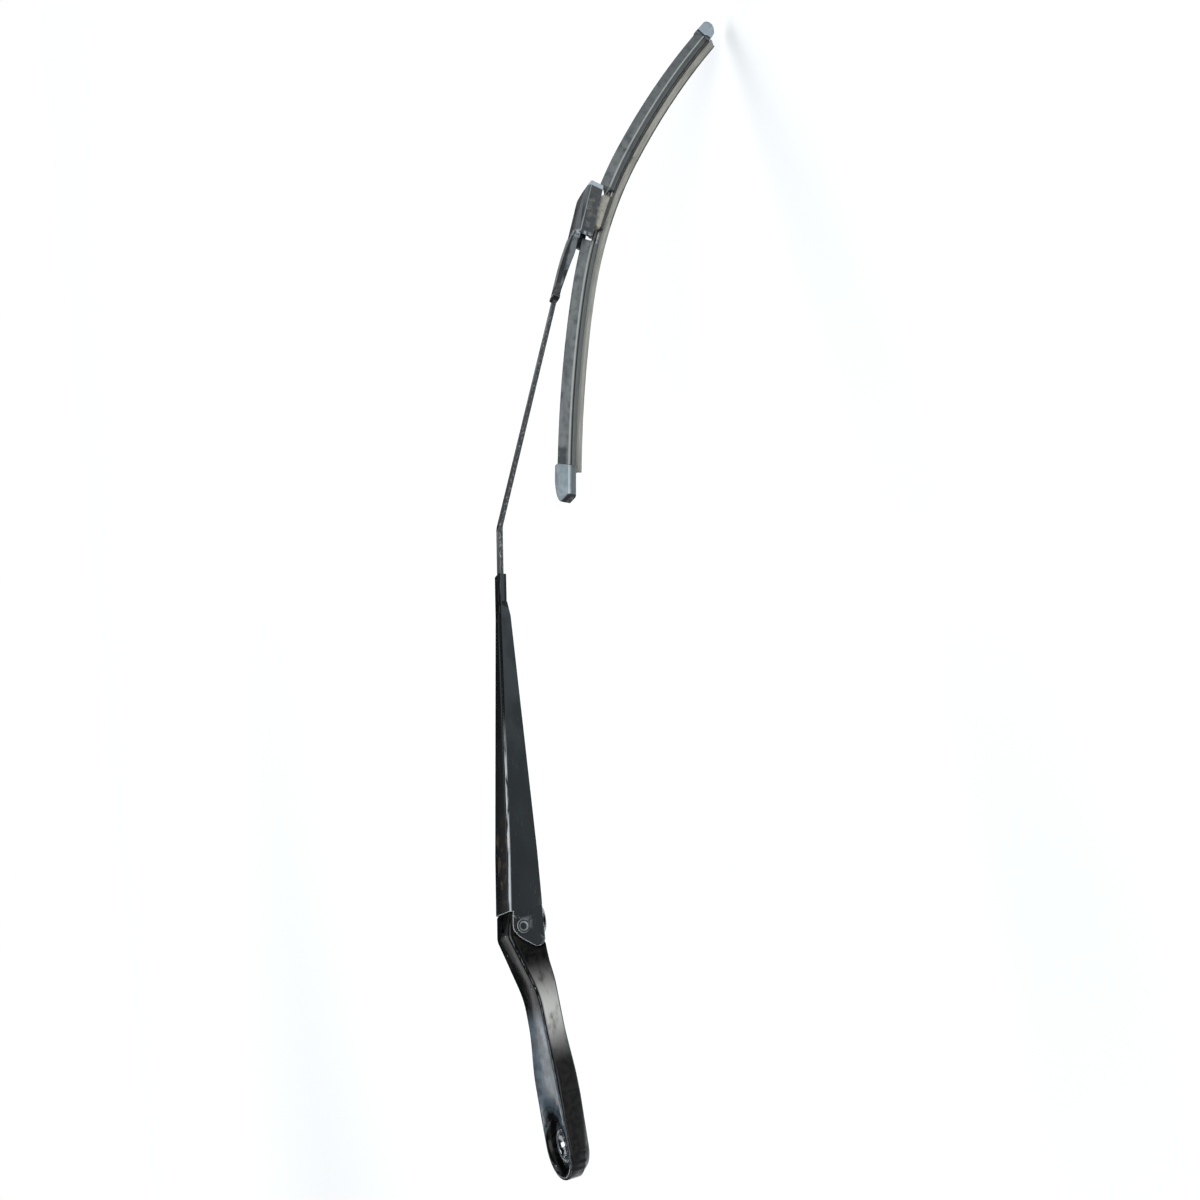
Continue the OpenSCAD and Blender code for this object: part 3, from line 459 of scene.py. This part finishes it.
# The fold: a bright painted highlight over rubbed paint.
rubbed = all_of(t, on_fold, between(t, x, -6, 112, 24), blotches(t, place, 2, 0.3, 0.5, (8, 1, 1)))
dust = all_of(t, is_top, between(t, x, 16, 60, 10), blotches(t, place, 5, 0.52, 0.66, (1.6, 1, 1)))
scratches = all_of(t, is_near, blotches(t, place, 0.9, 0.66, 0.74, (7, 1, 0.8)))
dull = blotches(t, place, 16, 0.36, 0.64, (2, 1, 1))
bare = all_of(t, worn_edge(t, 0.7, 0.01, 0.12), between(t, x, -14, 14, 3), rims)
print("rims are rubbed beyond", RUB_R, "mm from the heel's middle, and on the rivet")

# %% [markdown]
# The top of the real one mirrors less than the side, so the specular level is lower there. The
# coat's own texture is finer than the picture can show, so here and on the next pieces it is drawn
# about a millimetre wide.

# %% Black dipped coat on pressed steel
colour = layered(
    t,
    "#0c0f11",
    (
        # The near side is painted paler than the top: a painted reflection.
        ("#1f2527", is_near),
        ("#3a4144", all_of(t, is_near, toward_tip), 0.9),
        ("#151a1c", all_of(t, is_near, dull), 0.6),
        ("#3d4446", inner_line),
        ("#4d4434", dust, 0.6),
        ("#565d60", scratches, 0.5),
        ("#777c7e", specks(t, place, 6, 0.4, 0.14)),
        ("#c0c6c9", rubbed, 0.9),
        ("#d8dcde", bare),
    ),
)
shine = add(t, "MapRange", {0: is_top, 3: 0.2, 4: 0.05}).outputs[0]
t.links.new(shine, shader.inputs["Specular IOR Level"])
dress(arm_paint, colour, (0.22, 0.34), dull, blotches(t, place, 1.1, 0.2, 0.8))

# %% [markdown]
# The rod has the same coat on drawn flat steel. Its near top edge has a painted highlight, with a
# row of small bright dashes along it.

# %% Black dipped coat on drawn steel
rod_paint, t, _, place = blank("black dipped coat on drawn steel", ROD_ORIGIN, ROD_SLOPE)
normal = add(t, "NewGeometry").outputs["Normal"]
facing_y = add(t, "SeparateXYZ", {0: normal}).outputs[1]
# The near top edge: a painted highlight, with bright dashes along it.
on_edge = between(t, facing_y, -0.9, -0.35, 0.1)
dashes = all_of(t, on_edge, blotches(t, place, 0.9, 0.54, 0.62, (2.4, 1, 1)))
dull = blotches(t, place, 9, 0.35, 0.65, (3, 1, 1))
colour = layered(
    t,
    "#17191b",
    (("#2a2d2f", dull), ("#4a4e50", on_edge, 0.5), ("#a5a9aa", dashes, 0.8)),
)
dress(rod_paint, colour, (0.28, 0.42), dull, blotches(t, place, 0.8, 0.2, 0.8))

# %% [markdown]
# The blade's holder is thin pressed steel in a dark grey coat. On the hood, the bevel is painted
# paler than the side, as a painted sheen, a pale painted highlight follows the crease below, the
# side has a beige stain with dark smears in it, and the front end has a pale painted highlight. The
# tops are painted darker, as painted shade, and bright painted highlights lie where the neck meets
# the hood. The neck has lost its gloss: its side is mottled where the coat has gone thin, and the
# upper part of it is painted darker, as painted shade.

# %% Where the holder's coat has changed
NECK, HOOD, FRONT = (218, 271), (273, 340), (323, 340)  # along X, the last two past the tip
CREASE = (-5.4, -4.8)  # along Z

holder_paint, t, shader, place = blank("grey dipped coat on the holder", ROD_ORIGIN, ROD_SLOPE)
x, _, z = add(t, "SeparateXYZ", {0: place}).outputs
normal = add(t, "NewGeometry").outputs["Normal"]
_, facing_y, facing_z = add(t, "SeparateXYZ", {0: normal}).outputs
is_top = add(t, "MapRange", {0: facing_z, 1: 0.7, 2: 0.95}).outputs[0]
is_near = add(t, "MapRange", {0: facing_y, 1: -0.85, 2: -0.97}).outputs[0]
on_bevel = between(t, facing_y, -0.82, -0.4, 0.08)
on_side = between(t, facing_y, -1.1, -0.88, 0.05)
faces_near = between(t, facing_y, -1.1, -0.6, 0.1)
on_hood = between(t, x, *HOOD, 1)
on_neck = between(t, x, *NECK, 2)
# The front end: a pale painted highlight.
front_highlight = between(t, x, *FRONT, 0.7)

# The neck's upper part: painted shade.
shoulder = all_of(t, on_neck, between(t, z, -0.7, 9, 0.4))
stain = all_of(t, is_near, on_hood, between(t, x, 290, 312, 7), blotches(t, place, 5, 0.42, 0.62))
smear = all_of(t, is_near, on_hood, blotches(t, place, 4, 0.52, 0.66, (1, 1, 2)))
thin = all_of(t, on_neck, on_side, blotches(t, place, 5, 0.36, 0.6, (2.4, 1, 1)))
# Bright painted highlights where the neck meets the hood.
junction_highlight = all_of(t, between(t, x, 267, 274, 2), blotches(t, place, 3.5, 0.48, 0.6))
bare = all_of(t, worn_edge(t, 0.5), on_hood)
# A pale painted highlight along the crease.
crease_highlight = all_of(t, on_hood, between(t, z, *CREASE, 0.2), faces_near)
print("the hood starts at", HOOD[0], "mm and is highlighted from", FRONT[0], "mm on")

# %% [markdown]
# The neck mirrors less than the hood, so the specular level is lower there. The dark smears are
# rougher than the coat round them.

# %% Grey dipped coat on the holder
colour = layered(
    t,
    "#2f3336",
    (
        # The hood's bevel is painted paler than the side: a painted sheen.
        ("#5c636a", all_of(t, on_bevel, on_hood), 0.55),
        ("#77786c", stain, 0.6),
        ("#26292b", smear, 0.6),
        ("#868d90", thin, 0.7),
        ("#24282a", shoulder, 0.85),
        ("#c9d1d8", junction_highlight, 0.7),
        # The tops are painted darker: painted shade.
        ("#1a1d1f", is_top, 0.6),
        ("#bcc5cd", front_highlight, 0.9),
        ("#a6b0b6", bare, 0.6),
        ("#a3abb0", crease_highlight, 0.7),
        ("#e4e8ea", specks(t, place, 12, 0.8, 0.1)),
    ),
)
shine = add(t, "MapRange", {0: on_neck, 3: 0.5, 4: 0.12}).outputs[0]
t.links.new(shine, shader.inputs["Specular IOR Level"])
dress(holder_paint, colour, (0.3, 0.5), smear, blotches(t, place, 0.9, 0.2, 0.8))

# %% [markdown]
# The blade's pieces are drawn along its curve, which is made of three arcs: a tight one about the
# pin and a flatter one at each end. The middle arc's centre lies below the pin, square to the blade
# there, and each end arc's centre lies further on, in line with the seam where that arc starts.

# %% The blade's three arcs
PIN, PIN_ANGLE, PIN_RISE = (660.5085, 0, -171.1503), math.radians(27.8), 12.1
MID_R, FLAT_R, MID_LEN = 620, 1340, 80
INNER_TIP, OUTER_TIP = -261, 284  # along the blade, from the pin


def outwards(angle, length):
    """The step in x and z of that length, at that angle from the Z axis."""
    return Vector((length * math.sin(angle), 0, length * math.cos(angle)))


mid_centre = Vector(PIN) - outwards(PIN_ANGLE, MID_R + PIN_RISE)
arcs = [(mid_centre, MID_R, PIN_ANGLE, 0)]
for side in (-1, 1):
    seam_angle = PIN_ANGLE + side * MID_LEN / MID_R
    centre = mid_centre - outwards(seam_angle, FLAT_R - MID_R)
    arcs.append((centre, FLAT_R, seam_angle, side * MID_LEN))
print("the arcs' centres lie at", [tuple(round(c) for c in arc[0]) for arc in arcs])

# %% [markdown]
# For each arc the shader works out how high a point lies above the steel rails and how far it is
# from the pin, and keeps the pair of the arc that the point belongs to. A pattern can then run
# along the blade or across it, as it does on an extruded strip.


# %% Place on the blade
def on_blade(name, level):
    """A blank finish, the place unrolled in mm, and how far along and how high that place is."""
    material, t, _, place = blank(name, level=level)
    across = add(t, "SeparateXYZ", {0: place}).outputs[1]
    results = []
    for centre, arc_r, start, start_along in arcs:
        from_centre = add(t, "VectorMath", {"operation": "SUBTRACT", 0: place, 1: centre})
        x, _, z = add(t, "SeparateXYZ", {0: from_centre.outputs[0]}).outputs
        flat = add(t, "CombineXYZ", {0: x, 2: z}).outputs[0]
        radius = add(t, "VectorMath", {"operation": "LENGTH", 0: flat}).outputs["Value"]
        height = add(t, "Math", {"operation": "SUBTRACT", 0: radius, 1: arc_r}).outputs[0]
        angle = add(t, "Math", {"operation": "ARCTAN2", 0: x, 1: z}).outputs[0]
        turned = add(t, "Math", {"operation": "SUBTRACT", 0: angle, 1: start}).outputs[0]
        arc_length = {"operation": "MULTIPLY_ADD", 0: turned, 1: arc_r, 2: start_along}
        along = add(t, "Math", arc_length).outputs[0]
        results.append(add(t, "CombineXYZ", {0: along, 1: across, 2: height}).outputs[0])
    unrolled = results[0]
    mid_along = add(t, "SeparateXYZ", {0: unrolled}).outputs[0]
    ends = (results[1], "LESS_THAN", -MID_LEN), (results[2], "GREATER_THAN", MID_LEN)
    for result, test, limit in ends:
        beyond = add(t, "Math", {"operation": test, 0: mid_along, 1: limit}).outputs[0]
        picked = {"data_type": "VECTOR", 0: beyond, 4: unrolled, 5: result}
        unrolled = add(t, "Mix", picked).outputs[1]
    along, _, height = add(t, "SeparateXYZ", {0: unrolled}).outputs
    return material, t, unrolled, along, height


print("the blade runs from", INNER_TIP, "to", OUTER_TIP, "mm about the pin")

# %% [markdown]
# The bridge that clips on the blade is moulded from filled nylon. Its beige is partly dust and
# partly painted light, with grime in patches. Its ends and its nearly black foot are painted shade,
# and its sharp edges are rubbed paler. The moulding's grain is drawn half a millimetre wide,
# coarser than it is, so that it shows.

# %% Moulded nylon of the bridge
BRIDGE_END = (19.6, 24)  # from the pin, both ways

bridge_plastic, t, place, along, height = on_blade("moulded nylon", 0.5)
grime = blotches(t, place, 4, 0.45, 0.68)
from_pin = add(t, "Math", {"operation": "ABSOLUTE", 0: along}).outputs[0]
colour = layered(
    t,
    # The beige base: partly dust, partly painted light.
    "#a9a69c",
    (
        ("#8b8a80", grime),
        # The foot: painted shade.
        ("#1f1e1c", between(t, height, -4, 0.8, 0.25), 0.95),
        ("#c5c3b9", worn_edge(t, 0.5), 0.6),
        ("#4a4943", specks(t, place, 3, 0.35, 0.12)),
        # The ends: painted shade.
        ("#2b2b28", between(t, from_pin, *BRIDGE_END, 0.6), 0.7),
    ),
)
dress(bridge_plastic, colour, (0.42, 0.6), grime, blotches(t, place, 0.5, 0.2, 0.8))

# %% [markdown]
# The spoiler is extruded rubber, so all that happens to it runs in long lines along the blade. Its
# face has bloomed to a dusty grey-green with darker blotches, its lower ridge has a pale painted
# highlight, and the groove below is painted dark as painted shade. On the inner half a black
# painted shadow runs under the ridge, the band is paler and the groove's painted shade is lighter,
# and a wet patch by the cap is darker still.

# %% Where the spoiler has changed
FACE, RIDGE_BAND, UNDER_RIDGE = (4.4, 13), (3.2, 4.4), (1.2, 2.2)  # heights above the rails
BAND, GROOVE = (0.2, 2.9), (-3, -0.1)

spoiler_rubber, t, place, along, height = on_blade("bloomed extruded rubber", 0.4)
bloom = blotches(t, place, 7, 0.36, 0.64, (5, 1, 1))
mottle = blotches(t, place, 6, 0.42, 0.7, (1.6, 1, 1), 4)
outer = add(t, "MapRange", {0: along, 1: 0, 2: OUTER_TIP}).outputs[0]
inner_side = add(t, "Math", {"operation": "LESS_THAN", 0: along, 1: 0}).outputs[0]
# A black painted shadow under the ridge, on the inner half.
shadow_under_ridge = all_of(t, inner_side, between(t, height, *UNDER_RIDGE, 0.25))
face = between(t, height, *FACE, 0.2)
# The ridge: a pale painted highlight.
ridge_highlight = between(t, height, *RIDGE_BAND, 0.25)
# The groove: painted shade.
groove_shade = between(t, height, *GROOVE, 0.35)
band = between(t, height, *BAND, 0.3)
wet_along = between(t, along, INNER_TIP + 20, INNER_TIP + 39, 2.5)
wet = all_of(t, wet_along, between(t, height, 5.6, 13, 1), blotches(t, place, 5, 0.25, 0.5))
print("the ridge stands", *RIDGE_BAND, "mm above the rails")

# %% [markdown]
# The bloom is dull and the bare rubber under it is a little shinier, so the same patches steer the
# colour and the roughness. The blotches stand out of the face as a faint relief.

# %% Bloomed rubber of the spoiler
colour = layered(
    t,
    "#6a6f71",
    (
        ("#7f8483", bloom),
        ("#3f4447", mottle, 0.75),
        ("#44494b", all_of(t, outer, face), 0.6),
        ("#4a4f50", band, 0.9),
        ("#6d7170", all_of(t, band, inner_side), 0.7),
        ("#b0b3b1", ridge_highlight, 0.9),
        ("#1d2021", groove_shade, 0.97),
        # On the inner half the groove's painted shade is lighter.
        ("#6d7170", all_of(t, groove_shade, inner_side), 0.75),
        ("#141718", shadow_under_ridge),
        ("#343b3e", wet, 0.9),
    ),
)
dress(spoiler_rubber, colour, (0.5, 0.72), bloom, mottle, 0.04)

# %% [markdown]
# The wiping element is softer rubber, dusted with the fine powder that keeps it from sticking. Its
# shoulder is pale and streaked, and the thin lip that touches the glass is dark and polished. Where
# it sits under the spoiler, by the rails, it is painted darker as painted shade. On the inner half
# the shoulder is greyer and the lip still has its powder.

# %% Wiping rubber
LIP, SEAT, GREY_BAND = (-11, -7.9), (-3.4, 3), (-5.2, 3)  # heights above the rails

wiping_rubber, t, place, along, height = on_blade("powdered wiping rubber", 0.4)
streaks = blotches(t, place, 0.9, 0.4, 0.6, (26, 1, 1))
cloud = blotches(t, place, 9, 0.35, 0.65, (3, 1, 1))
lip = between(t, height, *LIP, 0.35)
inner_side = add(t, "Math", {"operation": "LESS_THAN", 0: along, 1: 0}).outputs[0]
colour = layered(
    t,
    "#a5a49a",
    (
        ("#86857c", streaks, 0.8),
        ("#bdbbb1", cloud, 0.5),
        # Where it sits under the spoiler: painted shade.
        ("#5f5e58", between(t, height, *SEAT, 0.3), 0.7),
        ("#83857f", all_of(t, inner_side, between(t, height, *GREY_BAND, 0.4)), 0.8),
        ("#43433f", lip, 0.9),
        ("#b4b2a8", all_of(t, lip, inner_side), 0.8),
    ),
)
dress(wiping_rubber, colour, (0.55, 0.75), streaks, streaks, 0.03)

# %% [markdown]
# The end caps are moulded plastic with a fine spark-eroded grain. They have faded to a blue grey,
# paler along their rims. The inner cap has a pale painted highlight on its ridge and is darker on
# the foot that holds the steel rails, and its end is painted near-black as painted shade. The outer
# cap has a black joint line with a grey collar before it, and both lean towards the tip on either
# side of the ridge.

# %% Where the caps have changed
RIDGE, OUTER_CAP = 3.8, 22  # the ridge's height, and the outer cap's length
BOW = -0.3  # how much the joint leans, in mm for each mm from the ridge

cap_plastic, t, place, along, height = on_blade("faded moulded plastic", 0.35)
cloud = blotches(t, place, 5, 0.36, 0.64, (1.5, 1, 1))
far_cap = add(t, "Math", {"operation": "GREATER_THAN", 0: along, 1: 0}).outputs[0]
near_cap = all_but(t, far_cap)
foot = all_of(t, near_cap, between(t, height, -10, 2.4, 0.5))
# The ridge: a pale painted highlight.
ridge_highlight = all_of(t, near_cap, between(t, height, 3.2, 4.3, 0.25))
# The inner end: painted shade.
end_shade = between(t, along, INNER_TIP - 1, INNER_TIP + 1.4, 0.4)
from_ridge = add(t, "Math", {"operation": "SUBTRACT", 0: height, 1: RIDGE}).outputs[0]
wing = add(t, "Math", {"operation": "ABSOLUTE", 0: from_ridge}).outputs[0]
bowed = add(t, "Math", {"operation": "MULTIPLY_ADD", 0: wing, 1: BOW, 2: along}).outputs[0]
cap_start = OUTER_TIP - OUTER_CAP
joint = all_of(t, far_cap, between(t, bowed, cap_start - 0.4, cap_start + 2.2, 0.3))
collar = all_of(t, far_cap, between(t, bowed, cap_start - 9, cap_start - 0.1, 0.2))
print("the outer cap's joint is", cap_start, "mm from the pin")

# %% [markdown]
# The grain is drawn as coarse as the bridge's, so that it shows, but shallower. The rims are worn
# wider than on the painted pieces.

# %% Faded plastic of the caps
colour = layered(
    t,
    "#86939a",
    (
        ("#9aa8b3", far_cap),
        ("#a6b3bb", cloud, 0.6),
        ("#5a6161", foot, 0.85),
        ("#c9d2d8", ridge_highlight, 0.85),
        ("#ccd5da", worn_edge(t, 0.9, 0.01, 0.16), 0.8),
        ("#131516", end_shade, 0.97),
        ("#5a6062", collar),
        ("#101214", joint, 0.97),
    ),
)
dress(cap_plastic, colour, (0.34, 0.5), cloud, blotches(t, place, 0.5, 0.2, 0.8), 0.015)

# %% [markdown]
# The small parts inside get plain but true finishes: black acetal for the adapter, grey acetal for
# the two release tabs, a filled bearing plastic for the bushes, bright drawn steel for the pins and
# rails, and zinc-plated steel for the link and the spring. The fine lines along them, from drawing
# or moulding, are drawn 0.6 mm wide, coarser than they are.

# %% Finishes of the inner parts
finishes = {
    "head_paint": head_paint,
    "arm_paint": arm_paint,
    "rod_paint": rod_paint,
    "holder_paint": holder_paint,
    "bridge": bridge_plastic,
    "spoiler": spoiler_rubber,
    "wiping_rubber": wiping_rubber,
    "cap": cap_plastic,
}
for slot, name, base, shade, rough, metallic in (
    ("adapter", "black acetal", "#17191b", "#26292b", 0.4, 0.0),
    ("tab", "grey acetal", "#3c3f41", "#5a5e60", 0.4, 0.0),
    ("bush", "filled bearing plastic", "#b9b4a2", "#d0ccbd", 0.5, 0.0),
    ("steel", "drawn bright steel", "#8c9094", "#a3a7aa", 0.3, 1.0),
    ("spring_steel", "zinc-plated spring steel", "#7d8184", "#9a9ea1", 0.34, 1.0),
):
    finishes[slot], t, _, place = blank(name, PIVOT, DROOP, metallic)
    lines = blotches(t, place, 0.6, 0.35, 0.65, (12, 1, 1))
    grime = blotches(t, place, 3, 0.5, 0.7)
    colour = layered(t, base, ((shade, lines), ("#2a2722", grime, 0.4)))
    dress(finishes[slot], colour, (rough - 0.06, rough + 0.12), grime, lines, 0.01)
print(len(finishes), "finishes")

# %% [markdown]
# The CAD solids have flat facets, which catch the light one by one. For the pieces that show, we
# take a copy of the solid's mesh, join its loose triangles at their corners, and smooth the
# shading over every fold that is softer than the limit. The copy then stands in for the solid.

# %% Smooth copies of the solids
SAME_CORNER = 0.002 * MM
slot_of = {part["node"]: part["material_slot"] for part in frame["record"]["subparts"]}
bodies = frame["record"]["behaviour"]["bodies"]
body_of = {node: body for body, names in bodies.items() for node in names}


def smooth_copy(node, limit):
    """Replaces a node by a joined copy, smooth over folds of less than the limit in degrees."""
    piece = bpy.data.objects.new("dressed_" + node, nodes[node].data.copy())
    bpy.context.scene.collection.objects.link(piece)
    bpy.ops.object.select_all(action="DESELECT")
    bpy.context.view_layer.objects.active = piece
    piece.select_set(True)
    bpy.ops.object.mode_set(mode="EDIT")
    bpy.ops.mesh.select_all(action="SELECT")
    bpy.ops.mesh.remove_doubles(threshold=SAME_CORNER)
    bpy.ops.object.mode_set(mode="OBJECT")
    bpy.ops.object.shade_smooth_by_angle(angle=math.radians(limit), keep_sharp_edges=False)
    piece.data.materials.clear()
    piece.data.materials.append(finishes[slot_of[node]])
    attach(piece, body_of[node])
    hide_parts(node)
    return piece


for node, limit in (
    ("head", 32),
    ("arm_channel", 32),
    ("pivot_rivet", 50),
    ("wiper_rod", 40),
    ("blade_holder", 30),
    ("adapter", 32),
    ("blade_bridge", 32),
    ("rubber_element", 30),
    ("spoiler_inner", 24),
    ("spoiler_outer", 24),
    ("end_cap_inner", 35),
    ("end_cap_outer", 35),
):
    piece = smooth_copy(node, limit)
    print(piece.name, len(piece.data.polygons), "faces")

# %% [markdown]
# The other solids are small or hidden, and show as they are. Each one gets the finish of the slot
# that the record names for it.

# %% Finishes of the solids
for name, node in nodes.items():
    node.data.materials.clear()
    node.data.materials.append(finishes[slot_of[name]])
print(len(nodes), "solids have their finish")

# %% [markdown]
# Last, the colours are shown as they are written.

# %% Output
bpy.context.scene.view_settings.view_transform = "Standard"
